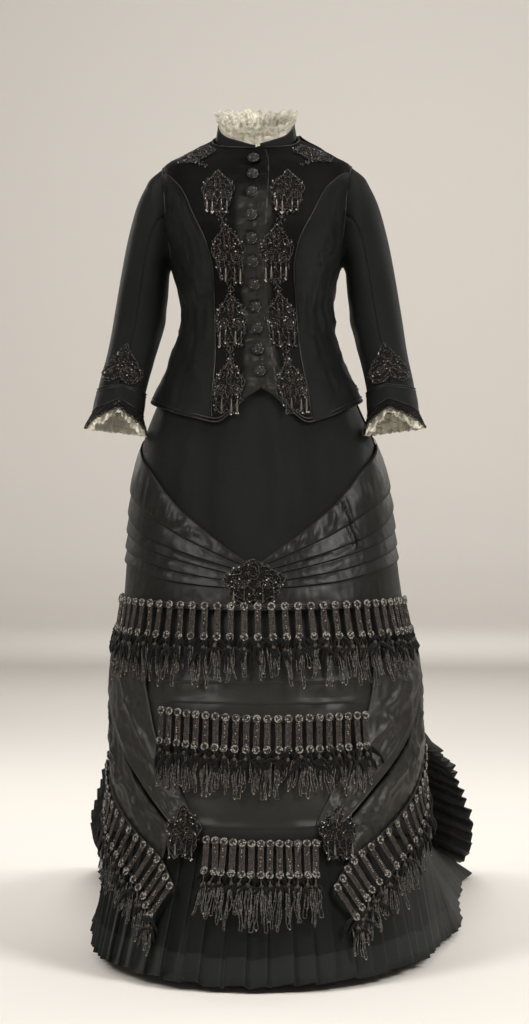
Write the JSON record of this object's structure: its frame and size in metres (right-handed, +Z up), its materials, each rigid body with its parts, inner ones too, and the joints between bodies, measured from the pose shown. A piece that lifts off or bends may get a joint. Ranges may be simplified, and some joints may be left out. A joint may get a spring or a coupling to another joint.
{
  "type": "mourning dress",
  "caption": "Black silk mourning dress with a fitted, buttoned bodice, narrow sleeves, a swagged and fringed skirt, a pleated hem and a train, hollow as if worn.",
  "frame": {"origin": "on the shoulder line at the middle of the neck opening, where the wearer's shoulders carry the dress; the floor that the hem just clears is 1.290 m below", "axes": "+Z up, -Y towards the front of the dress, +X towards the viewer's right as seen from the front"},
  "size_m": [0.7477, 1.5729, 1.3755],
  "materials": {
    "black_faille": "ribbed silk, dull sheen",
    "black_satin": "crushed satin, soft gloss",
    "cream_lace": "matt cotton lace",
    "black_lace": "matt silk lace",
    "jet_beads": "polished beads sewn on net",
    "beaded_fringe": "cord and beads",
    "button_cord": "cord worked over a mould"
  },
  "bodies": {
    "root": {"back_left": "black_faille", "back_right": "black_faille", "side_back_left": "black_faille", "side_back_right": "black_faille", "side_front_left": "black_faille", "side_front_right": "black_faille", "collar": "black_faille", "sleeve_over_left": "black_faille", "sleeve_over_right": "black_faille", "sleeve_under_left": "black_faille", "sleeve_under_right": "black_faille", "skirt_front": "black_faille", "train_left": "black_faille", "train_right": "black_faille", "train_frill": "black_faille", "hem_flounce": "black_faille", "vest_left": "black_satin", "vest_right": "black_satin", "cuff_band_left": "black_satin", "cuff_band_right": "black_satin", "swag_left": "black_satin", "swag_right": "black_satin", "side_drape_left": "black_satin", "side_drape_right": "black_satin", "neck_ruffle": "cream_lace", "cream_ruffle_left": "cream_lace", "cream_ruffle_right": "cream_lace", "black_lace_left": "black_lace", "black_lace_right": "black_lace", "shoulder_motif_left": "jet_beads", "shoulder_motif_right": "jet_beads", "breast_motif_left": "jet_beads", "breast_motif_right": "jet_beads", "bust_motif_left": "jet_beads", "bust_motif_right": "jet_beads", "waist_motif_left": "jet_beads", "waist_motif_right": "jet_beads", "basque_motif_left": "jet_beads", "basque_motif_right": "jet_beads", "tablier_motif_left": "jet_beads", "tablier_motif_right": "jet_beads", "sleeve_motif_left": "jet_beads", "sleeve_motif_right": "jet_beads", "swag_motif": "jet_beads", "upper_fringe": "beaded_fringe", "middle_fringe": "beaded_fringe", "lower_fringe": "beaded_fringe", "slanting_fringe_left": "beaded_fringe", "slanting_fringe_right": "beaded_fringe", "button_01": "button_cord", "button_02": "button_cord", "button_03": "button_cord", "button_04": "button_cord", "button_05": "button_cord", "button_06": "button_cord", "button_07": "button_cord", "button_08": "button_cord", "button_09": "button_cord", "button_10": "button_cord", "button_11": "button_cord"}
  },
  "joints": []
}
